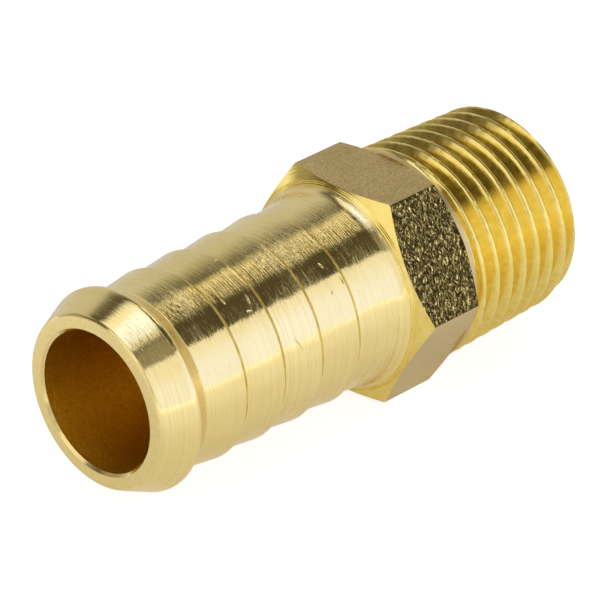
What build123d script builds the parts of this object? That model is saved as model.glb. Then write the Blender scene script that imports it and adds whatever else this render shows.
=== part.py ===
from build123d import *
from math import cos, pi, radians, tan
import os

# Hose barb tail: one brass turning from hexagon bar. A barbed tail takes a hose of 8 mm bore,
# a hexagon takes the spanner, and an R 1/8 taper thread screws into a pipe socket.
# A plain bore runs right through.
#
# The fitting lies on its side. X runs along the bore, from the nose of the tail to the
# threaded end; Z is up, square to the top flat of the hexagon. The origin is under the middle
# of the length, level with the lowest line of the fitting.
# Stations along the axis are measured from the nose; lengths follow one another along it.

# ---- Driving dimensions, in millimetres and degrees ----

bore_diameter = 6.4
mouth_chamfer = 0.12            # at both ends of the bore

nose_cone_diameter = 7.82       # where the nose cone would reach the end face
nose_edge_radius = 0.3
nose_crest_diameter = 9.26      # before the crest is rounded
nose_front_length = 1.63        # end face to the crest
nose_crest_radius = 0.35
nose_back_length = 0.87         # crest to the root behind it
nose_root_diameter = 8.15
nose_root_radius = 0.25

barb_count = 4
first_ramp_length = 2.1         # nose root to the first crest
barb_pitch = 2.243
first_barb_diameter = 8.7
barb_growth = 0.036             # each crest is this much wider than the one before it
barb_step = 0.23                # how far the surface drops behind a crest
barb_step_length = 0.1
barb_edge_radius = 0.04

neck_length = 2.79              # last crest to the hexagon
neck_radius = 0.7               # hollow where the neck runs up into the hexagon

across_flats = 9.8
hexagon_length = 3.84
hexagon_edge_radius = 0.2
shoulder_height = 0.4           # a flat of the hexagon above the neck
front_chamfer_angle = 28        # from square to the axis
back_chamfer_angle = 30
back_face_diameter = 9.6

thread_length = 7.45
thread_gauge_diameter = 9.728
thread_gauge_length = 3.4       # from the threaded end to the gauge plane
thread_taper = 1 / 16           # on the diameter
thread_end_chamfer = 0.6

# ---- Sizes worked out from them ----

nose_root_station = nose_front_length + nose_back_length
first_barb_station = nose_root_station + first_ramp_length
last_barb_station = first_barb_station + (barb_count - 1) * barb_pitch
tail_length = last_barb_station + neck_length
hexagon_back = tail_length + hexagon_length
overall_length = hexagon_back + thread_length
bore_radius = bore_diameter / 2
tolerance = mouth_chamfer / 10

nose_edge = (0, nose_cone_diameter / 2)
nose_crest = (nose_front_length, nose_crest_diameter / 2)
nose_root = (nose_root_station, nose_root_diameter / 2)

taper_per_side = thread_taper / 2
thread_end_radius = thread_gauge_diameter / 2 - thread_gauge_length * taper_per_side
thread_start_radius = thread_end_radius + thread_length * taper_per_side
chamfer_start_radius = thread_end_radius + thread_end_chamfer * taper_per_side

# The fitting lies on whichever reaches lower: a flat of the hexagon or the thread.
axis_height = max(across_flats / 2, thread_start_radius)
nose_centre = Vector(-overall_length / 2, 0, axis_height)
bore_axis = Axis(nose_centre, (1, 0, 0))
profile_plane = Plane(origin=nose_centre, x_dir=(1, 0, 0), z_dir=(0, -1, 0))


def section_plane(station):
    """The plane square to the axis at a station, facing the threaded end."""
    return Plane(origin=nose_centre + Vector(station, 0, 0), x_dir=(0, 1, 0), z_dir=(1, 0, 0))


def place_on_profile(station, radius):
    """The point of space at a station and radius of the profile."""
    return nose_centre + Vector(station, 0, radius)


# Crest and foot of each barb, from the nose towards the hexagon.
barb_profile = []
for number in range(barb_count):
    crest_station = first_barb_station + number * barb_pitch
    crest_radius = (first_barb_diameter + number * barb_growth) / 2
    barb_profile.append((crest_station, crest_radius))
    barb_profile.append((crest_station + barb_step_length, crest_radius - barb_step))

# The neck rises a little to the hexagon, whose two ends are turned to cones.
flat_radius = across_flats / 2
corner_radius = flat_radius / cos(pi / 6)
neck_end_radius = flat_radius - shoulder_height
front_chamfer_slope = tan(radians(front_chamfer_angle))
front_chamfer_length = (corner_radius - neck_end_radius) * front_chamfer_slope
back_chamfer_length = (corner_radius - back_face_diameter / 2) * tan(radians(back_chamfer_angle))
tail_middle = tail_length + hexagon_length / 2      # the tail is joined inside the hexagon

rounded_corners = [
    (nose_edge, nose_edge_radius),
    (nose_crest, nose_crest_radius),
    (nose_root, nose_root_radius),
]
rounded_corners += [(crest, barb_edge_radius) for crest in barb_profile[::2]]

# ---- The fitting ----

with BuildPart() as hose_barb_tail:
    # Hexagon bar, its corners slightly round as drawn.
    with BuildSketch(section_plane(tail_length)) as bar_section:
        RegularPolygon(radius=flat_radius, side_count=6, major_radius=False)
        fillet(bar_section.vertices(), radius=hexagon_edge_radius)
    extrude(amount=hexagon_length)

    # Both ends of the hexagon turned to a cone, which leaves an arch on every flat.
    with BuildSketch(profile_plane):
        with BuildLine():
            Polyline(
                (tail_length, 0),
                (tail_length, neck_end_radius),
                (tail_length + front_chamfer_length, corner_radius),
                (hexagon_back - back_chamfer_length, corner_radius),
                (hexagon_back, back_face_diameter / 2),
                (hexagon_back, 0),
                close=True,
            )
        make_face()
    revolve(axis=bore_axis, mode=Mode.INTERSECT)

    # Tail: a round nose, then ramps that rise to a barb and drop behind it.
    with BuildSketch(profile_plane) as tail_section:
        with BuildLine():
            Polyline(
                (0, 0),
                nose_edge,
                nose_crest,
                nose_root,
                *barb_profile,
                (tail_length, neck_end_radius),
                (tail_middle, neck_end_radius),
                (tail_middle, 0),
                close=True,
            )
        make_face()
        for place, radius in rounded_corners:
            fillet(tail_section.vertices().sort_by_distance(place)[0], radius=radius)
    revolve(axis=bore_axis)

    # Hollow where the last ramp runs up into the cone of the hexagon.
    neck_edges = hose_barb_tail.edges().filter_by(GeomType.CIRCLE)
    fillet(neck_edges.sort_by_distance(place_on_profile(tail_length, neck_end_radius))[0],
           radius=neck_radius)

    # Taper thread, turned to the line of its crests, with a lead-in at the end.
    with BuildSketch(profile_plane):
        with BuildLine():
            Polyline(
                (hexagon_back, 0),
                (hexagon_back, thread_start_radius),
                (overall_length - thread_end_chamfer, chamfer_start_radius),
                (overall_length, chamfer_start_radius - thread_end_chamfer),
                (overall_length, 0),
                close=True,
            )
        make_face()
    revolve(axis=bore_axis)

    # Through bore, its mouths broken by a small chamfer.
    with BuildSketch(section_plane(0)):
        Circle(bore_radius)
    extrude(amount=overall_length, mode=Mode.SUBTRACT)
    mouths = hose_barb_tail.edges().filter_by(GeomType.CIRCLE).filter_by(
        lambda edge: abs(edge.radius - bore_radius) < tolerance)
    chamfer(mouths, length=mouth_chamfer)

hose_barb_tail.part.label = "hose_barb_tail"

os.makedirs("parts", exist_ok=True)
export_step(hose_barb_tail.part, "parts/hose_barb_tail.step")
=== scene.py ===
import math

import bpy
from mathutils import Matrix, Vector, noise


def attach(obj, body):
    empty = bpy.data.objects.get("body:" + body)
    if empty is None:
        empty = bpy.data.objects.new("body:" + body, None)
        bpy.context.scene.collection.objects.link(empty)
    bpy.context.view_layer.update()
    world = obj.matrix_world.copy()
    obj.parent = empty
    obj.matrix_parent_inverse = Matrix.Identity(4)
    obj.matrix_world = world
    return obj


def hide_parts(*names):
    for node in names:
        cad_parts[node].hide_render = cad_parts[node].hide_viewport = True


# The hose barb tail as one turned mesh around its bore, with its taper thread cut in, laid on
# a pale floor. Lengths are in millimetres and become metres in the mesh, unless a comment says
# otherwise. Stations are measured along the axis from the nose. Angles go round the axis from
# +Y to +Z.

MM = 0.001
NODE = "hose_barb_tail"
PIECE = "barb_tail_body"

# ---- The fitting, as the CAD has it ----

BORE_RADIUS = 3.2
MOUTH_CHAMFER = 0.12            # at both ends of the bore
NOSE_CONE_RADIUS = 3.91         # where the nose cone would reach the end face
NOSE_EDGE_ROUNDING = 0.3
NOSE_FRONT_LENGTH = 1.63        # end face to the crest
NOSE_CREST_RADIUS = 4.63        # before the crest is rounded
NOSE_CREST_ROUNDING = 0.35
NOSE_BACK_LENGTH = 0.87         # crest to the root behind it
NOSE_ROOT_RADIUS = 4.075
NOSE_ROOT_ROUNDING = 0.25
BARB_COUNT = 4
FIRST_RAMP_LENGTH = 2.1         # nose root to the first crest
BARB_PITCH = 2.243
FIRST_BARB_RADIUS = 4.35
BARB_GROWTH = 0.018             # each crest is this much further out than the one before it
BARB_STEP = 0.23                # how far the surface drops behind a crest
BARB_STEP_LENGTH = 0.1
BARB_EDGE_ROUNDING = 0.04
NECK_LENGTH = 2.79              # last crest to the hexagon
NECK_ROUNDING = 0.7             # hollow where the neck runs up into the hexagon
FLAT_RADIUS = 4.9               # half the width across the flats
SHOULDER_HEIGHT = 0.4           # a flat of the hexagon above the neck
HEXAGON_LENGTH = 3.84
HEXAGON_EDGE_ROUNDING = 0.2
FRONT_CHAMFER_SLOPE = math.tan(math.radians(28))
BACK_CHAMFER_SLOPE = math.tan(math.radians(30))
BACK_FACE_RADIUS = 4.8
THREAD_LENGTH = 7.45
THREAD_GAUGE_RADIUS = 4.864
THREAD_GAUGE_LENGTH = 3.4       # from the threaded end to the gauge plane
TAPER_PER_SIDE = 1 / 32
THREAD_END_CHAMFER = 0.6

# ---- Marks of the lathe that the CAD leaves out, and the strip of painted shade at each barb's foot ----

CREASE = 0.18                   # length of the strip of painted shade at the foot of every barb
FACED_DEPTH = 0.06              # how far the matt end face runs over the nose's edge
SCRIBES = (4.70, 4.79, 4.86)    # radii of the fine grooves where the neck meets the hexagon
SCRIBE_WIDTH = 0.04
SCRIBE_DEPTH = 0.02
CONE_START = 0.06               # past the tail, where the form-cut cone begins

# ---- The thread itself: 28 to the inch, right-handed, 55 degree flanks, round crests ----

THREAD_PITCH = 0.907
THREAD_DEPTH = 0.640327         # in pitches
THREAD_ROUNDING = 0.137329      # radius of crest and root, in pitches
THREAD_FLANK = math.radians(27.5)
THREAD_PHASE = 20.071           # station of a crest at angle zero
THREAD_BLANK = 0.24             # turned band between the hexagon and the first groove
THREAD_RUNOUT = (0.14, 0.50)    # from the hexagon: where the groove starts and is full
CREST_WEAR = 0.03               # unevenness of the crests
CREST_WEAR_CELLS = (3, 12)      # cells of it per millimetre along and per radian round

# ---- What follows from them ----

MOUTH_RADIUS = BORE_RADIUS + MOUTH_CHAMFER
NOSE_LENGTH = NOSE_FRONT_LENGTH + NOSE_BACK_LENGTH
FIRST_BARB_STATION = NOSE_LENGTH + FIRST_RAMP_LENGTH
TAIL_LENGTH = FIRST_BARB_STATION + (BARB_COUNT - 1) * BARB_PITCH + NECK_LENGTH
HEXAGON_BACK = TAIL_LENGTH + HEXAGON_LENGTH
OVERALL_LENGTH = HEXAGON_BACK + THREAD_LENGTH
NECK_END_RADIUS = FLAT_RADIUS - SHOULDER_HEIGHT
HALF_FLAT = math.pi / 6         # angle from the middle of a flat to a corner
EDGE_CENTRE = (FLAT_RADIUS - HEXAGON_EDGE_ROUNDING) / math.cos(HALF_FLAT)
EDGE_START = math.atan(EDGE_CENTRE * math.sin(HALF_FLAT) / FLAT_RADIUS)     # to its rounding
THREAD_END_RADIUS = THREAD_GAUGE_RADIUS - THREAD_GAUGE_LENGTH * TAPER_PER_SIDE
THREAD_START_RADIUS = THREAD_END_RADIUS + THREAD_LENGTH * TAPER_PER_SIDE
CHAMFER_START = OVERALL_LENGTH - THREAD_END_CHAMFER
CHAMFER_START_RADIUS = THREAD_END_RADIUS + THREAD_END_CHAMFER * TAPER_PER_SIDE
END_FACE_RADIUS = THREAD_END_RADIUS - THREAD_END_CHAMFER
AXIS_HEIGHT = max(FLAT_RADIUS, THREAD_START_RADIUS)

# ---- Mesh fineness ----

FLAT_COLUMNS = 38               # across each flat of the hexagon
EDGE_COLUMNS = 3                # either side of each corner
ARC_STEP = math.radians(9)
RAMP_STEP = 0.16
FLAT_SPANS = 10                 # along the hexagon
BORE_SPANS = 24
CREST_SPANS = 4                 # along the crest, flank and root of one pitch
FLANK_SHARES = (0.06, 0.5, 0.94)
ROOT_SPANS = 5
SPARE_TURNS = 3                 # helical lines begun before the thread and run on past it
CONE_MARGIN = 0.01              # between the last round ring of the cone and the flats
END_MARGIN = 0.02               # between the last ring of the thread and the end face
SHARP_ANGLE = math.radians(24)
SLACK = 1e-6                    # for comparing worked-out lengths and angles

# ---- Finishes, in the order of the mesh's material slots ----

# The bore's finish paints the shade inside the bore into its colour.
# The crease finish paints the shade at each barb's foot into its colour.
# The root finish paints the shade and the inter-reflection of the thread's roots into its
# colour.
TURNED, FACED, BORED_AND_SHADED, FORMED, DRAWN, PITTED, SMOOTH, PAINTED_CREASE_SHADE, PAINTED_ROOT_SHADE = range(9)
FLAT_FINISHES = (SMOOTH, DRAWN, PITTED, SMOOTH, DRAWN, PITTED)   # from the flat at 30 degrees


def rounded_corner(before, corner, after, rounding):
    """Points of the arc that rounds a corner between its two neighbours."""
    way_in, way_out = (corner - before).normalized(), (after - corner).normalized()
    turn = math.copysign(way_in.angle_signed(way_out), way_in.cross(way_out))
    start = corner - way_in * (rounding * abs(math.tan(turn / 2)))
    spoke = Vector((way_in.y, -way_in.x)) * math.copysign(rounding, turn)
    steps = max(2, math.ceil(abs(turn) / ARC_STEP))
    return [tuple(start - spoke + Matrix.Rotation(turn * step / steps, 2) @ spoke)
            for step in range(steps + 1)]


def fillet_path(points):
    """A profile through (station, radius, rounding) points, its corners rounded."""
    corners = [Vector(point[:2]) for point in points]
    path = [points[0][:2]]
    for index in range(1, len(points) - 1):
        rounding = points[index][2]
        if rounding:
            path += rounded_corner(*corners[index - 1:index + 2], rounding)
        else:
            path.append(tuple(corners[index]))
    path.append(points[-1][:2])
    return path


def subdivide(path, step):
    """The same path with no span longer than step."""
    fine = [path[0]]
    for start, end in zip(path, path[1:]):
        count = max(1, math.ceil(math.dist(start, end) / step))
        for index in range(1, count + 1):
            share = index / count
            fine.append((start[0] + (end[0] - start[0]) * share,
                         start[1] + (end[1] - start[1]) * share))
    return fine


def hexagon_radius(offset):
    """Radius of the hexagon's outline at an angle from the middle of a flat."""
    if abs(offset) <= EDGE_START + SLACK:
        return FLAT_RADIUS / math.cos(offset)
    lean = HALF_FLAT - abs(offset)
    across = EDGE_CENTRE * math.sin(lean)
    return EDGE_CENTRE * math.cos(lean) + math.sqrt(HEXAGON_EDGE_ROUNDING ** 2 - across ** 2)


def hexagon_columns():
    """Angle, hexagon radius and flat number of every column, finer at the corners."""
    flat_step = 2 * EDGE_START / FLAT_COLUMNS
    edge_step = (HALF_FLAT - EDGE_START) / EDGE_COLUMNS
    offsets = [-HALF_FLAT + edge_step * k for k in range(EDGE_COLUMNS)]
    offsets += [-EDGE_START + flat_step * k for k in range(FLAT_COLUMNS)]
    offsets += [EDGE_START + edge_step * k for k in range(EDGE_COLUMNS)]
    return [((2 * flat + 1) * HALF_FLAT + offset, hexagon_radius(offset), flat)
            for flat in range(6) for offset in offsets]


def smoothstep(low, high, value):
    share = min(1.0, max(0.0, (value - low) / (high - low)))
    return share * share * (3 - 2 * share)


def groove_depth(offset):
    """Depth below the crest line, in pitches, at an offset from a crest in pitches."""
    offset = abs(offset)
    tangent = THREAD_ROUNDING * math.cos(THREAD_FLANK)
    cap = THREAD_ROUNDING * (1 - math.sin(THREAD_FLANK))
    if offset <= tangent:
        return THREAD_ROUNDING - math.sqrt(THREAD_ROUNDING ** 2 - offset ** 2)
    if offset >= 0.5 - tangent:
        return THREAD_DEPTH - THREAD_ROUNDING + math.sqrt(
            THREAD_ROUNDING ** 2 - (0.5 - offset) ** 2)
    return cap + (offset - tangent) / math.tan(THREAD_FLANK)


def crest_wear(station, angle):
    along, around = CREST_WEAR_CELLS
    return abs(noise.noise(Vector((station * along, angle * around, 0)))) * CREST_WEAR


def thread_radius(station, angle):
    """Radius of the threaded end at a station and angle."""
    turns = (station - THREAD_PHASE) / THREAD_PITCH - angle / (2 * math.pi)
    offset = turns - round(turns)
    start, full = THREAD_RUNOUT
    cut = smoothstep(HEXAGON_BACK + start, HEXAGON_BACK + full, station)
    radius = THREAD_END_RADIUS + (OVERALL_LENGTH - station) * TAPER_PER_SIDE
    radius -= groove_depth(offset) * THREAD_PITCH * cut
    if abs(offset) < THREAD_ROUNDING:
        radius -= crest_wear(station, angle) * cut
    return min(radius, CHAMFER_START_RADIUS - (station - CHAMFER_START))


class Shell:
    """A closed mesh made of rings around the axis, gathered ring by ring."""

    def __init__(self, columns):
        self.columns = columns
        self.points = []
        self.faces = []
        self.finishes = []

    def point(self, column, station, radius):
        angle = self.columns[column][0]
        self.points.append(((station - OVERALL_LENGTH / 2) * MM,
                            radius * math.cos(angle) * MM,
                            (AXIS_HEIGHT + radius * math.sin(angle)) * MM))
        return len(self.points) - 1

    def ring(self, stations, radii):
        return [self.point(c, stations[c], radii[c]) for c in range(len(self.columns))]

    def round_ring(self, station, radius):
        count = len(self.columns)
        return self.ring([station] * count, [radius] * count)

    def face(self, corners, finish):
        kept = [corner for index, corner in enumerate(corners) if corner != corners[index - 1]]
        if len(kept) > 2:
            self.faces.append(kept)
            self.finishes.append(finish)

    def bridge(self, ring, following, finish):
        """Faces between two rings, in one finish or one by column. Gives the second ring."""
        count = len(ring)
        for c in range(count):
            d = (c + 1) % count
            own = finish(c) if callable(finish) else finish
            self.face((ring[c], following[c], following[d], ring[d]), own)
        return following


def scribe(path, radius):
    """Cut a fine groove into the outline where it last rises through a radius."""
    low, high = radius - SCRIBE_WIDTH / 2, radius + SCRIBE_WIDTH / 2
    stations = []
    for level in (low, radius, high):
        spans = [span for span in zip(path, path[1:]) if span[0][1] <= level < span[1][1]]
        start, end = spans[-1]
        share = (level - start[1]) / (end[1] - start[1])
        stations.append(start[0] + (end[0] - start[0]) * share)
    before = [point for point in path if point[0] < stations[0]]
    after = [point for point in path if point[0] > stations[2]]
    groove = [(stations[0], low), (stations[1] + SCRIBE_DEPTH, radius), (stations[2], high)]
    return before + groove + after


def front_cone_station(radius):
    return TAIL_LENGTH + (radius - NECK_END_RADIUS) * FRONT_CHAMFER_SLOPE


def back_cone_station(radius):
    """Station of the cone behind the hexagon, which goes no further in than the thread."""
    rim = max(radius, THREAD_START_RADIUS)
    return HEXAGON_BACK - (rim - BACK_FACE_RADIUS) * BACK_CHAMFER_SLOPE


def barb_points(number):
    """A barb's crest, the foot of its step and the end of the darker strip there."""
    station = FIRST_BARB_STATION + number * BARB_PITCH
    crest = FIRST_BARB_RADIUS + number * BARB_GROWTH
    foot_station, foot = station + BARB_STEP_LENGTH, crest - BARB_STEP
    slope = (BARB_STEP + BARB_GROWTH) / (BARB_PITCH - BARB_STEP_LENGTH)
    if number == BARB_COUNT - 1:
        slope = (NECK_END_RADIUS - foot) / NECK_LENGTH
    return [(station, crest, BARB_EDGE_ROUNDING), (foot_station, foot, 0),
            (foot_station + CREASE, foot + slope * CREASE, 0)]


def tail_path():
    """The turned outline from the mouth at the nose to the cone of the hexagon."""
    points = [(0, MOUTH_RADIUS, 0), (0, NOSE_CONE_RADIUS, NOSE_EDGE_ROUNDING),
              (NOSE_FRONT_LENGTH, NOSE_CREST_RADIUS, NOSE_CREST_ROUNDING),
              (NOSE_LENGTH, NOSE_ROOT_RADIUS, NOSE_ROOT_ROUNDING)]
    for number in range(BARB_COUNT):
        points += barb_points(number)
    cone_radius = FLAT_RADIUS - CONE_MARGIN
    points += [(TAIL_LENGTH, NECK_END_RADIUS, NECK_ROUNDING),
               (front_cone_station(cone_radius), cone_radius, 0)]
    path = fillet_path(points)
    for radius in SCRIBES:
        path = scribe(path, radius)
    return subdivide(path, RAMP_STEP)


def creased(station):
    """Whether a station lies in a barb's step or in the strip at its foot, where shade is
    painted in.
    """
    along = station - FIRST_BARB_STATION - 0.5 * BARB_STEP_LENGTH
    number, along = divmod(along, BARB_PITCH)
    return 0 <= number < BARB_COUNT and along <= 0.5 * BARB_STEP_LENGTH + CREASE + SLACK


def tail_finish(station):
    """Finish of the band of the turned outline that ends at a station."""
    if station < FACED_DEPTH:
        return FACED
    if station > TAIL_LENGTH + CONE_START:
        return FORMED
    # The barbs' steps and feet take the finish with painted shade.
    return PAINTED_CREASE_SHADE if creased(station) else TURNED


def add_tail(shell):
    """The turned tail. Gives its first ring, at the mouth, and its last, on the cone."""
    path = tail_path()
    first = ring = shell.round_ring(*path[0])
    for station, radius in path[1:]:
        ring = shell.bridge(ring, shell.round_ring(station, radius), tail_finish(station))
    return first, ring


def add_hexagon(shell, ring):
    """Front cone, flats and back cone, each ring following the arches of the flats."""
    radii = [column[1] for column in shell.columns]
    front = [front_cone_station(radius) for radius in radii]
    back = [back_cone_station(radius) for radius in radii]
    ring = shell.bridge(ring, shell.ring(front, radii), FORMED)
    for index in range(1, FLAT_SPANS + 1):
        share = index / FLAT_SPANS
        stations = [start + (end - start) * share for start, end in zip(front, back)]
        ring = shell.bridge(ring, shell.ring(stations, radii),
                            lambda c: FLAT_FINISHES[shell.columns[c][2]])
    seat = back_cone_station(THREAD_START_RADIUS)
    return seat, shell.bridge(ring, shell.round_ring(seat, thread_radius(seat, 0)), TURNED)


def thread_rows():
    """Offsets from a crest, in pitches, of the lines that follow the helix."""
    tangent = THREAD_ROUNDING * math.cos(THREAD_FLANK)
    flank = 0.5 - 2 * tangent
    rows = [tangent * (2 * k / CREST_SPANS - 1) for k in range(CREST_SPANS + 1)]
    rows += [tangent + flank * share for share in FLANK_SHARES]
    rows += [0.5 + tangent * (2 * k / ROOT_SPANS - 1) for k in range(ROOT_SPANS + 1)]
    rows += [0.5 + tangent + flank * share for share in FLANK_SHARES]
    return rows


class Helix:
    """Lines that follow the thread's crests and stop at a flat ring at either end."""

    def __init__(self, shell, start, start_ring, end, end_ring):
        self.shell = shell
        self.rows = thread_rows()
        self.start, self.start_ring = start, start_ring
        self.end, self.end_ring = end, end_ring
        self.known = {}

    def lines(self):
        """Numbers of the lines, counted on from turn to turn."""
        first = math.floor((self.start - THREAD_PHASE) / THREAD_PITCH - SPARE_TURNS)
        last = math.ceil((self.end - THREAD_PHASE) / THREAD_PITCH + SPARE_TURNS)
        return range(first * len(self.rows), last * len(self.rows))

    def corner(self, line, column):
        """Point where a line crosses a column. After one turn it joins the next turn's line."""
        if column == len(self.shell.columns):
            line, column = line + len(self.rows), 0
        turn, row = divmod(line, len(self.rows))
        angle = self.shell.columns[column][0]
        station = THREAD_PHASE + THREAD_PITCH * (turn + self.rows[row] + angle / (2 * math.pi))
        if station <= self.start:
            return self.start_ring[column]
        if station >= self.end:
            return self.end_ring[column]
        if (line, column) not in self.known:
            radius = thread_radius(station, angle)
            self.known[line, column] = self.shell.point(column, station, radius)
        return self.known[line, column]

    def finish(self, line, quad):
        """Smooth on the blank band, deep gold with painted shade at the roots and form-cut
        everywhere else.
        """
        blank = (HEXAGON_BACK + THREAD_BLANK - OVERALL_LENGTH / 2) * MM
        if max(self.shell.points[point][0] for point in quad) <= blank:
            return SMOOTH
        past_flank = line % len(self.rows) - (CREST_SPANS + 1 + len(FLANK_SHARES))
        return PAINTED_ROOT_SHADE if 0 <= past_flank < ROOT_SPANS else FORMED


def add_thread(shell, seat, ring):
    """The helical surface from the seat at the hexagon. Gives its last ring."""
    end = OVERALL_LENGTH - END_MARGIN
    end_ring = [shell.point(c, end, thread_radius(end, column[0]))
                for c, column in enumerate(shell.columns)]
    helix = Helix(shell, seat, ring, end, end_ring)
    for line in helix.lines():
        for c in range(len(shell.columns)):
            quad = (helix.corner(line, c), helix.corner(line + 1, c),
                    helix.corner(line + 1, c + 1), helix.corner(line, c + 1))
            if len(set(quad)) > 2:
                shell.face(quad, helix.finish(line, quad))
    return end_ring


def add_end_and_bore(shell, ring, first):
    """The threaded end's face, both mouths and the bore back to the nose."""
    bore_end = OVERALL_LENGTH - MOUTH_CHAMFER
    bore_length = bore_end - MOUTH_CHAMFER
    stops = [(OVERALL_LENGTH, END_FACE_RADIUS, FACED), (OVERALL_LENGTH, MOUTH_RADIUS, FACED),
             (bore_end, BORE_RADIUS, TURNED)]
    # The bore takes the finish with painted shade.
    stops += [(bore_end - bore_length * index / BORE_SPANS, BORE_RADIUS, BORED_AND_SHADED)
              for index in range(1, BORE_SPANS + 1)]
    for station, radius, finish in stops:
        ring = shell.bridge(ring, shell.round_ring(station, radius), finish)
    shell.bridge(ring, first, TURNED)


def build_fitting():
    shell = Shell(hexagon_columns())
    first, ring = add_tail(shell)
    seat, ring = add_hexagon(shell, ring)
    ring = add_thread(shell, seat, ring)
    add_end_and_bore(shell, ring, first)
    mesh = bpy.data.meshes.new(PIECE)
    mesh.from_pydata(shell.points, [], shell.faces)
    mesh.polygons.foreach_set("material_index", shell.finishes)
    mesh.polygons.foreach_set("use_smooth", [True] * len(shell.faces))
    mesh.validate()
    mesh.set_sharp_from_angle(angle=SHARP_ANGLE)
    piece = bpy.data.objects.new(PIECE, mesh)
    bpy.context.collection.objects.link(piece)
    return piece


# ---- Materials ----

MICRON = 1e-6
WIDE, NARROW = (0.3, 0.7), (0.35, 0.65)     # spans of a noise that a mottle is drawn over
RING_SLANT = 0.9                # millimetres along the bar that one of radius counts as

# The two colours of each finish, mixed by a noise, and what is laid over them. The colour of a
# pit goes by the noise that also sets its depth.
TURNED_COLOURS = ((0.84, 0.66, 0.26), (0.90, 0.73, 0.33))
TURNED_LINE = (0.83, 0.65, 0.265)
# Crease: darker, more saturated gold, the painted shade at each barb's foot
PAINTED_CREASE_SHADE_COLOURS = ((0.56, 0.38, 0.06), (0.80, 0.58, 0.13))
# Root: darker, more saturated gold, the painted shade and inter-reflection of the thread's
# roots
PAINTED_ROOT_SHADE_COLOURS = ((0.68, 0.48, 0.08), (0.82, 0.61, 0.14))
FACED_COLOURS = ((0.82, 0.65, 0.26), (0.92, 0.75, 0.34))
# Bore: a mottle of stipple, darkened and deepened to amber by painted shade and
# inter-reflection
BORED_AND_SHADED_COLOURS = ((0.80, 0.48, 0.012), (0.97, 0.66, 0.045))
FORMED_COLOURS = ((0.82, 0.62, 0.15), (0.90, 0.71, 0.23))
DRAWN_COLOURS = ((0.65, 0.475, 0.17), (0.74, 0.56, 0.225))
DRAWN_STREAK = (0.38, 0.27, 0.10)
DRAWN_SPECK = (0.42, 0.30, 0.12)
SMOOTH_COLOURS = ((0.60, 0.455, 0.205), (0.67, 0.52, 0.24))
SMOOTH_STREAK = (0.45, 0.34, 0.14)
PIT_COLOURS = ((0.50, (0.04, 0.028, 0.008)), (0.56, (0.15, 0.105, 0.025)),
               (0.62, (0.34, 0.25, 0.065)), (0.675, (0.98, 0.76, 0.26)))


class Tree:
    """A short way to write a node tree. A method's result is the node's output."""

    def __init__(self, tree):
        self.tree = tree

    def add(self, kind, **settings):
        node = self.tree.nodes.new(kind)
        for name, value in settings.items():
            setattr(node, name, value)
        return node

    def link(self, source, target):
        """Feed a socket from another one, or set it to a number, vector or colour."""
        if isinstance(source, (int, float, tuple, Vector)):
            target.default_value = source
        else:
            self.tree.links.new(source, target)

    def math(self, operation, *values):
        node = self.add("ShaderNodeMath", operation=operation)
        for value, socket in zip(values, node.inputs):
            self.link(value, socket)
        return node.outputs[0]

    def vector_math(self, operation, *values):
        node = self.add("ShaderNodeVectorMath", operation=operation)
        for value, socket in zip(values, node.inputs):
            self.link(value, socket)
        return node

    def dot(self, vector, way):
        return self.vector_math("DOT_PRODUCT", vector, way).outputs["Value"]

    def range(self, value, low, high, to_low=0.0, to_high=1.0, kind="LINEAR"):
        node = self.add("ShaderNodeMapRange", interpolation_type=kind)
        for name, number in (("From Min", low), ("From Max", high),
                             ("To Min", to_low), ("To Max", to_high)):
            node.inputs[name].default_value = number
        self.link(value, node.inputs["Value"])
        return node.outputs[0]

    def mix(self, share, first, second):
        """From the first to the second, each an output or a colour."""
        node = self.add("ShaderNodeMix", data_type="RGBA")
        self.link(share, node.inputs["Factor"])
        for value, name in ((first, "A"), (second, "B")):
            socket = [s for s in node.inputs if s.name == name and s.type == "RGBA"][0]
            self.link((*value, 1) if isinstance(value, tuple) else value, socket)
        return [s for s in node.outputs if s.type == "RGBA"][0]


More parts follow.
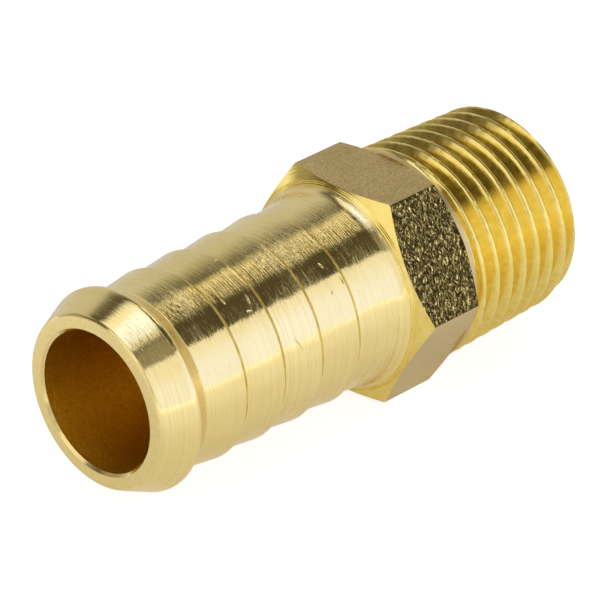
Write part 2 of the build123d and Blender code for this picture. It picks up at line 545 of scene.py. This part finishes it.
class Nodes(Tree):
    """The node tree of a new material, with textures placed by object coordinates."""

    def __init__(self, name):
        self.material = bpy.data.materials.new(name)
        self.material.use_nodes = True
        super().__init__(self.material.node_tree)
        self.shader = self.tree.nodes["Principled BSDF"]
        self.place = self.add("ShaderNodeTexCoord").outputs["Object"]

    def axes(self):
        """The object coordinates as three outputs."""
        parts = self.add("ShaderNodeSeparateXYZ")
        self.link(self.place, parts.inputs[0])
        return parts.outputs

    def vector(self, x, y, z):
        node = self.add("ShaderNodeCombineXYZ")
        for value, socket in zip((x, y, z), node.inputs):
            self.link(value, socket)
        return node.outputs[0]

    def noise(self, vector, scale, detail=2.0, roughness=0.5, distortion=0.0):
        """Noise of a scale in cells per metre of the vector."""
        node = self.add("ShaderNodeTexNoise")
        self.link(vector, node.inputs["Vector"])
        for name, number in (("Scale", scale), ("Detail", detail),
                             ("Roughness", roughness), ("Distortion", distortion)):
            node.inputs[name].default_value = number
        return node.outputs[0]

    def rings(self, spacing, around, detail=2.0, roughness=0.5):
        """Noise drawn out round the axis, as turning leaves it.

        The spacing is along the outline, in millimetres, and around is in cells per metre.
        """
        along, across, height = self.axes()
        height = self.math("SUBTRACT", height, AXIS_HEIGHT * MM)
        square = self.math("MULTIPLY_ADD", across, across,
                           self.math("MULTIPLY", height, height))
        line = self.math("MULTIPLY_ADD", self.math("SQRT", square), RING_SLANT, along)
        return self.noise(self.vector(self.math("MULTIPLY", line, 1 / (spacing * MM)),
                                      self.math("MULTIPLY", across, around),
                                      self.math("MULTIPLY", height, around)),
                          1.0, detail, roughness)

    def streaks(self, share, scale, detail, roughness=0.6):
        """Noise drawn out along the bar by 1 / share."""
        node = self.add("ShaderNodeMapping")
        node.inputs["Scale"].default_value = (share, 1.0, 1.0)
        self.link(self.place, node.inputs["Vector"])
        return self.noise(node.outputs[0], scale, detail, roughness)

    def ramp(self, value, stops):
        node = self.add("ShaderNodeValToRGB")
        elements = node.color_ramp.elements
        while len(elements) < len(stops):
            elements.new(0.5)
        for element, (position, colour) in zip(elements, stops):
            element.position = position
            element.color = (*colour, 1)
        self.link(value, node.inputs["Fac"])
        return node.outputs["Color"]

    def mottle(self, value, span, colours):
        """The first colour below a span of the noise, and the second above it."""
        return self.mix(self.range(value, *span), *colours)

    def bump(self, height, distance, under=None):
        node = self.add("ShaderNodeBump")
        node.inputs["Distance"].default_value = distance
        node.inputs["Strength"].default_value = 1.0
        self.link(height, node.inputs["Height"])
        if under is not None:
            self.link(under, node.inputs["Normal"])
        return node.outputs[0]

    def finish(self, colour, roughness, normal):
        """Close the tree as metal."""
        self.link(colour, self.shader.inputs["Base Color"])
        self.link(roughness, self.shader.inputs["Roughness"])
        self.link(normal, self.shader.inputs["Normal"])
        self.shader.inputs["Metallic"].default_value = 1.0
        return self.material


# Nicks in the turned tail: station, angle, half length and half width, and lean to the axis.
NICKS = ((5.35, 121.0, 0.16, 0.05, 80), (6.40, 126.5, 0.26, 0.06, 100),
         (6.15, 133.0, 0.14, 0.06, 20), (10.0, 116.5, 0.13, 0.06, 60),
         (10.7, 127.5, 0.16, 0.06, 75), (10.55, 143.5, 0.14, 0.04, 110),
         (11.25, 139.5, 0.22, 0.05, 95), (8.0, 163.0, 0.42, 0.04, 62),
         (6.7, 94.5, 0.10, 0.07, 30), (9.2, 115.0, 0.10, 0.08, 45),
         (8.9, 205.0, 0.20, 0.04, 70), (12.2, 300.0, 0.25, 0.05, 80),
         (7.3, 20.0, 0.18, 0.05, 100), (11.9, 250.0, 0.16, 0.06, 60))
NICK_DEPTH = 0.03
NICKED_RADIUS = 4.27            # of the tail, on average
NICK_CLEARANCE = 1.2            # past this a nick doesn't count, so none shows on the far side


def nick_reach(nodes, station, angle, half_length, half_width, lean):
    """Nothing at the middle of a nick, rising to one and more past its rim."""
    angle, lean = math.radians(angle), math.radians(lean)
    centre = Vector((station - OVERALL_LENGTH / 2, NICKED_RADIUS * math.cos(angle),
                     AXIS_HEIGHT + NICKED_RADIUS * math.sin(angle))) * MM
    axis = Vector((1, 0, 0))
    around = Vector((0, -math.sin(angle), math.cos(angle)))
    along = axis * math.cos(lean) + around * math.sin(lean)
    across = around * math.cos(lean) - axis * math.sin(lean)
    offset = nodes.vector_math("SUBTRACT", nodes.place, centre).outputs["Vector"]
    distance = nodes.vector_math("LENGTH", offset).outputs["Value"]
    reach = nodes.math("GREATER_THAN", distance, NICK_CLEARANCE * MM)
    for way, half in ((along, half_length), (across, half_width)):
        share = nodes.dot(offset, way / (half * MM))
        reach = nodes.math("MULTIPLY_ADD", share, share, reach)
    return reach


def nicks(nodes):
    """Height field that is one on the sound surface and falls to nothing in each nick."""
    height = 1.0
    for nick in NICKS:
        height = nodes.math("MINIMUM", height, nick_reach(nodes, *nick))
    return height


def turned_normal(nodes, fine):
    """Rings and short scratches, fainter in patches and on the nose, and the nicks."""
    coarse = nodes.rings(spacing=0.22, around=30)
    scratches = nodes.rings(spacing=0.055, around=2200, roughness=0.65)
    patches = nodes.range(nodes.noise(nodes.place, 450), 0.38, 0.62, 0.35, 1.0)
    nose_end = (NOSE_LENGTH - OVERALL_LENGTH / 2) * MM
    past_nose = nodes.range(nodes.axes()[0], nose_end, nose_end + MM, 0.5, 1.0)
    depth = nodes.math("MULTIPLY", patches, past_nose)
    marks = nodes.math("MULTIPLY_ADD", coarse, 0.35, fine)
    normal = nodes.bump(nodes.math("MULTIPLY", marks, depth), 15 * MICRON)
    normal = nodes.bump(nodes.math("MULTIPLY", scratches, depth), 14 * MICRON, normal)
    return nodes.bump(nicks(nodes), NICK_DEPTH * MM, normal)


def turned_brass():
    """Bright, with highlights drawn out round the axis and duller scratches."""
    nodes = Nodes("turned_brass")
    fine = nodes.rings(spacing=0.065, around=90, detail=1.0, roughness=0.6)
    broad = nodes.noise(nodes.place, 350, detail=3.0)
    pale = nodes.mottle(broad, WIDE, TURNED_COLOURS)
    colour = nodes.mix(nodes.range(fine, 0.36, 0.50), TURNED_LINE, pale)
    scratches = nodes.rings(spacing=0.05, around=1700, roughness=0.65)
    rough = nodes.math("ADD", nodes.range(broad, *WIDE, 0.06, 0.11),
                       nodes.range(scratches, 0.54, 0.74, 0, 0.32))
    nodes.shader.inputs["Anisotropic"].default_value = 0.2
    nodes.shader.inputs["Anisotropic Rotation"].default_value = 0.25
    tangent = nodes.add("ShaderNodeTangent", direction_type="RADIAL", axis="X")
    nodes.link(tangent.outputs[0], nodes.shader.inputs["Tangent"])
    return nodes.finish(colour, roughness=rough, normal=turned_normal(nodes, fine))


def painted_crease_shade_brass():
    """Rough strip at the foot of a barb, with the crease's shade painted in as darker, deeper
    gold.
    """
    nodes = Nodes("painted_crease_shade_brass")
    worn = nodes.noise(nodes.place, 1500, detail=3.0)
    colour = nodes.mottle(worn, NARROW, PAINTED_CREASE_SHADE_COLOURS)
    return nodes.finish(colour, roughness=0.5, normal=nodes.bump(worn, 20 * MICRON))


def painted_root_shade_brass():
    """Darker, deeper gold at the root of the thread: the groove's shade and the flanks'
    reflections in each other, painted in.
    """
    nodes = Nodes("painted_root_shade_brass")
    worn = nodes.noise(nodes.place, 2500, detail=3.0)
    colour = nodes.mottle(worn, NARROW, PAINTED_ROOT_SHADE_COLOURS)
    return nodes.finish(colour, roughness=0.22, normal=nodes.bump(worn, 10 * MICRON))


def faced_brass():
    """Matt end face."""
    nodes = Nodes("faced_brass")
    rings = nodes.rings(spacing=0.12, around=200)
    grain = nodes.noise(nodes.place, 9000, detail=3.0, roughness=0.6)
    colour = nodes.mottle(grain, WIDE, FACED_COLOURS)
    normal = nodes.bump(grain, 8 * MICRON, nodes.bump(rings, 3 * MICRON))
    return nodes.finish(colour, roughness=0.42, normal=normal)


def bored_and_shaded_brass():
    """Stippled amber inside the bore, darker and deeper than the brass outside: painted shade
    and inter-reflection of the bore's walls.
    """
    nodes = Nodes("bored_and_shaded_brass")
    rings = nodes.rings(spacing=0.3, around=120)
    stipple = nodes.noise(nodes.place, 9000, detail=3.0, roughness=0.7)
    colour = nodes.mottle(stipple, NARROW, BORED_AND_SHADED_COLOURS)
    normal = nodes.bump(stipple, 40 * MICRON, nodes.bump(rings, 20 * MICRON))
    return nodes.finish(colour, roughness=0.34, normal=normal)


def formed_brass():
    """Cut by a form tool or die: the cones of the hexagon and the flanks of the thread."""
    nodes = Nodes("formed_brass")
    fine = nodes.rings(spacing=0.12, around=100)
    grain = nodes.noise(nodes.place, 3000, detail=3.0)
    colour = nodes.mottle(grain, WIDE, FORMED_COLOURS)
    rough = nodes.range(grain, *WIDE, 0.15, 0.21)
    return nodes.finish(colour, roughness=rough, normal=nodes.bump(fine, 4 * MICRON))


def drawn_brass():
    """Matt skin of the drawn bar, specked and faintly streaked along it."""
    nodes = Nodes("drawn_brass")
    grain = nodes.noise(nodes.place, 8000, detail=3.0, roughness=0.7)
    cloud = nodes.noise(nodes.place, 700, detail=3.0)
    streaks = nodes.streaks(0.25, 5000, detail=3.0)
    colour = nodes.mottle(cloud, WIDE, DRAWN_COLOURS)
    colour = nodes.mix(nodes.range(streaks, 0.3, 0.5, 0.35, 0), colour, DRAWN_STREAK)
    colour = nodes.mix(nodes.range(grain, 0.40, 0.52, 0.75, 0), colour, DRAWN_SPECK)
    return nodes.finish(colour, roughness=0.40, normal=nodes.bump(grain, 50 * MICRON))


def smooth_brass():
    """The same skin where it is cleaner."""
    nodes = Nodes("smooth_brass")
    grain = nodes.noise(nodes.place, 6000, detail=3.0, roughness=0.6)
    cloud = nodes.noise(nodes.place, 400, detail=3.0)
    streaks = nodes.streaks(0.2, 4000, detail=2.0)
    colour = nodes.mottle(cloud, WIDE, SMOOTH_COLOURS)
    colour = nodes.mix(nodes.range(streaks, 0.3, 0.5, 0.15, 0), colour, SMOOTH_STREAK)
    return nodes.finish(colour, roughness=0.36, normal=nodes.bump(grain, 15 * MICRON))


FLECK_SCALE = (9500, 4000)      # cells per metre across and along the flecks
FLECK_LAYERS = ((0.35, 0.0), (-0.45, 7.0))      # lean, and which slice of the noise
PITTED_WAY = math.radians(60)   # from +Y to +Z: the direction of a pitted flat across the bar


def pitted_brass():
    """Torn dark skin with bright flecks lying two ways across the flat."""
    nodes = Nodes("pitted_brass")
    x, y, z = nodes.axes()
    along = nodes.math("MULTIPLY_ADD", y, math.cos(PITTED_WAY),
                       nodes.math("MULTIPLY", z, math.sin(PITTED_WAY)))
    layers = []
    for lean, slice_height in FLECK_LAYERS:
        across = nodes.math("MULTIPLY_ADD", along, lean, x)
        place = nodes.vector(nodes.math("MULTIPLY", across, FLECK_SCALE[0]),
                             nodes.math("MULTIPLY", along, FLECK_SCALE[1]), slice_height)
        layers.append(nodes.noise(place, 1.0, detail=3.0, roughness=0.6, distortion=0.9))
    pits = nodes.math("MAXIMUM", *layers)
    colour = nodes.ramp(pits, PIT_COLOURS)
    rough = nodes.range(pits, 0.5, 0.68, 0.6, 0.3)
    return nodes.finish(colour, roughness=rough, normal=nodes.bump(pits, 40 * MICRON))


FINISH_MAKERS = {TURNED: turned_brass, FACED: faced_brass, BORED_AND_SHADED: bored_and_shaded_brass,
                 FORMED: formed_brass, DRAWN: drawn_brass, PITTED: pitted_brass,
                 SMOOTH: smooth_brass, PAINTED_CREASE_SHADE: painted_crease_shade_brass, PAINTED_ROOT_SHADE: painted_root_shade_brass}


# ---- Studio ----

# Light from the walls and the ceiling of the tent
WALL = (0.66, 0.655, 0.65)
CEILING = (0.10, 0.09, 0.07)
CEILING_RISE = (30, 62)         # degrees up, between which the wall fades into the ceiling

# What hangs in front of them, lit or dark: azimuth from +X to +Y, elevation, half width and
# half height in degrees, soft edge as a share of the half size, and colour.
SOFTBOXES = (
    # the dark gap above the right-hand softbox
    (-35, 60, 24, 22, 0.15, (0.085, 0.075, 0.055)),
    # the unlit side beyond the nose, and its darker top
    (125, 12, 25, 18, 0.3, (0.40, 0.38, 0.35)),
    (136, 24, 14, 16, 0.5, (0.13, 0.11, 0.08)),
    # a gap in the tent above it
    (110, 50, 18, 7, 0.4, (0.12, 0.105, 0.085)),
    # a wide softbox on the right and its brighter middle
    (-85, 12, 56, 36, 0.05, (1.06, 1.08, 1.20)),
    (-68, 12, 34, 20, 0.7, (1.14, 1.26, 1.95)),
    # one on the left, seen in the nose and the cone of the hexagon
    (176, 20, 22, 26, 0.15, (1.15, 1.12, 1.12)),
    # one overhead and its brighter middle
    (150, 75, 24, 18, 0.2, (1.18, 1.20, 1.30)),
    (165, 75, 12, 16, 0.5, (1.35, 1.55, 2.50)),
    # spill on the ceiling above the right-hand softbox
    (-98, 58, 14, 9, 0.5, (0.36, 0.34, 0.30)),
    # a small softbox ahead of it
    (10.5, 54.2, 12, 7, 0.4, (1.42, 1.34, 1.12)),
)
LEAST_FACING = 0.01             # cosine to a softbox's middle below which it isn't seen

# The floor: its lengths are in metres, and the rest is how brightly it glows.
FLOOR_SIZE = 3.0
FLOOR_COLOUR = (0.5, 0.5, 0.5, 1)
FLOOR_GLOW = 0.80               # seen by the camera
FLOOR_REFLECTED = (0.45, 0.66)  # seen in the brass, close to the part with its shadow painted in, and far from it
FLOOR_REACH = (0.004, 0.020)    # from the axis, for those two, over which the painted shadow fades
FLOOR_FAR = (0.020, 0.200)      # where it brightens further, out towards the softbox, as painted light
FLOOR_FAR_GAIN = 0.45
FLOOR_PAINTED_SHADOW_BEHIND = 0.36             # seen in the brass beside the far side of the part, as its painted shadow
FLOOR_NOSE = -0.013             # where the nose begins
# Colour of the painted warm light thrown from the brass onto the floor near the part, seen in
# the brass
FLOOR_PAINTED_BOUNCE = (1.0, 0.95, 0.78)
WHITE = (1.0, 1.0, 1.0)


def direction(azimuth, elevation):
    azimuth, elevation = math.radians(azimuth), math.radians(elevation)
    return Vector((math.cos(elevation) * math.cos(azimuth),
                   math.cos(elevation) * math.sin(azimuth), math.sin(elevation)))


def softbox_mask(nodes, way, azimuth, elevation, half_sizes, soft):
    """One for directions inside a softbox, falling to nothing over its soft edge."""
    ahead = direction(azimuth, elevation)
    sideways = direction(azimuth + 90, 0)
    upwards = ahead.cross(sideways)
    facing = nodes.dot(way, ahead)
    depth = nodes.math("MAXIMUM", facing, LEAST_FACING)
    inside = nodes.math("GREATER_THAN", facing, LEAST_FACING)
    for axis, half in zip((sideways, upwards), half_sizes):
        offset = nodes.math("ABSOLUTE", nodes.math("DIVIDE", nodes.dot(way, axis), depth))
        reach = math.tan(math.radians(half))
        edge = nodes.range(offset, reach * (1 + soft), reach * (1 - soft), kind="SMOOTHSTEP")
        inside = nodes.math("MULTIPLY", inside, edge)
    return inside


def studio_colour(nodes):
    """Light from every direction: walls, ceiling and, in front of them, the softboxes."""
    way = nodes.add("ShaderNodeTexCoord").outputs["Generated"]
    heights = [math.sin(math.radians(elevation)) for elevation in CEILING_RISE]
    rise = nodes.range(nodes.dot(way, (0, 0, 1)), *heights, kind="SMOOTHSTEP")
    colour = nodes.mix(rise, WALL, CEILING)
    for azimuth, elevation, half_width, half_height, soft, level in SOFTBOXES:
        inside = softbox_mask(nodes, way, azimuth, elevation, (half_width, half_height), soft)
        colour = nodes.mix(inside, colour, level)
    return colour


def build_world():
    world = bpy.data.worlds.new("studio")
    bpy.context.scene.world = world
    world.use_nodes = True
    world.node_tree.nodes.clear()
    nodes = Tree(world.node_tree)
    light_path = nodes.add("ShaderNodeLightPath")
    colour = nodes.mix(light_path.outputs["Is Camera Ray"], studio_colour(nodes), WHITE)
    background = nodes.add("ShaderNodeBackground")
    nodes.link(colour, background.inputs["Color"])
    output = nodes.add("ShaderNodeOutputWorld")
    nodes.link(background.outputs[0], output.inputs["Surface"])


def floor_glow_with_painted_shadow(nodes):
    """How bright the floor is in the brass: dimmer beside the part and on its far side with the
    part's shadow painted in, and brighter out towards the softbox with painted light.
    """
    x, y = nodes.axes()[:2]
    aside = nodes.math("ABSOLUTE", y)
    near = nodes.range(aside, *FLOOR_REACH, *FLOOR_REFLECTED)
    away = nodes.math("ADD", near, nodes.range(aside, *FLOOR_FAR, 0, FLOOR_FAR_GAIN))
    behind = nodes.math("MULTIPLY", nodes.math("GREATER_THAN", y, 0.0),
                        nodes.math("GREATER_THAN", x, FLOOR_NOSE))
    return nodes.math("MULTIPLY_ADD", behind, nodes.math("SUBTRACT", FLOOR_PAINTED_SHADOW_BEHIND, away), away)


def floor_material():
    """White for the camera, with the part's shadow, and in the brass with painted shadow and
    painted warm light from the brass near the part.
    """
    nodes = Nodes("studio_floor")
    shader = nodes.shader
    shader.inputs["Base Color"].default_value = FLOOR_COLOUR
    shader.inputs["Roughness"].default_value = 1.0
    shader.inputs["Specular IOR Level"].default_value = 0.0
    light_path = nodes.add("ShaderNodeLightPath").outputs
    away = floor_glow_with_painted_shadow(nodes)
    # painted warm light from the brass on the floor near the part, in reflections only
    warm = nodes.math("MULTIPLY", nodes.range(away, *FLOOR_REFLECTED, 1, 0),
                      nodes.math("SUBTRACT", 1.0, light_path["Is Camera Ray"]))
    nodes.link(nodes.mix(warm, WHITE, FLOOR_PAINTED_BOUNCE), shader.inputs["Emission Color"])
    reflected = nodes.math("MAXIMUM", light_path["Is Glossy Ray"],
                           light_path["Is Transmission Ray"])
    glow = nodes.math("MULTIPLY_ADD", light_path["Is Camera Ray"], FLOOR_GLOW,
                      nodes.math("MULTIPLY", reflected, away))
    nodes.link(glow, shader.inputs["Emission Strength"])
    return nodes.material


def build_floor():
    half = FLOOR_SIZE / 2
    corners = [(-half, -half, 0), (half, -half, 0), (half, half, 0), (-half, half, 0)]
    mesh = bpy.data.meshes.new("studio_floor")
    mesh.from_pydata(corners, [], [(0, 1, 2, 3)])
    mesh.materials.append(floor_material())
    floor = bpy.data.objects.new("studio_floor", mesh)
    bpy.context.collection.objects.link(floor)


# ---- Camera ----

CAMERA_TARGET = Vector((-0.27, 0.23, 4.93)) * MM
CAMERA_DISTANCE = 186.87 * MM
CAMERA_AZIMUTH = 223.998        # of the camera seen from the target
CAMERA_ELEVATION = 29.28
CAMERA_ROLL = 0.74
CAMERA_LENS = 258.53
CAMERA_SENSOR = 36.0
CAMERA_CLIP = (0.01, 20)        # metres


def build_camera():
    data = bpy.data.cameras.new("camera")
    data.sensor_width = CAMERA_SENSOR
    data.lens = CAMERA_LENS
    data.clip_start, data.clip_end = CAMERA_CLIP
    camera = bpy.data.objects.new("camera", data)
    bpy.context.collection.objects.link(camera)
    back = direction(CAMERA_AZIMUTH, CAMERA_ELEVATION)
    right = Vector((0, 0, 1)).cross(back).normalized()
    up = back.cross(right)
    roll = math.radians(CAMERA_ROLL)
    rolled_right = right * math.cos(roll) + up * math.sin(roll)
    rolled_up = back.cross(rolled_right)
    turn = Matrix((rolled_right, rolled_up, back)).transposed().to_4x4()
    place = Matrix.Translation(CAMERA_TARGET + back * CAMERA_DISTANCE)
    camera.matrix_world = place @ turn
    bpy.context.scene.camera = camera


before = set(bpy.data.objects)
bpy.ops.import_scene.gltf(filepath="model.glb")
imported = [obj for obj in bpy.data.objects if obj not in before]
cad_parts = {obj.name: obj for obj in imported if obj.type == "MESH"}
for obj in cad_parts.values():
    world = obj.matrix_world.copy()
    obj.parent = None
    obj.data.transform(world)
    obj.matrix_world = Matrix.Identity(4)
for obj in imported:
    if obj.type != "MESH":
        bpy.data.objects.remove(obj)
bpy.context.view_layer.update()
fitting = build_fitting()
for finish in sorted(FINISH_MAKERS):
    fitting.data.materials.append(FINISH_MAKERS[finish]())
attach(fitting, "root")
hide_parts(NODE)
build_floor()
build_world()
build_camera()
bpy.context.scene.view_settings.view_transform = "Standard"
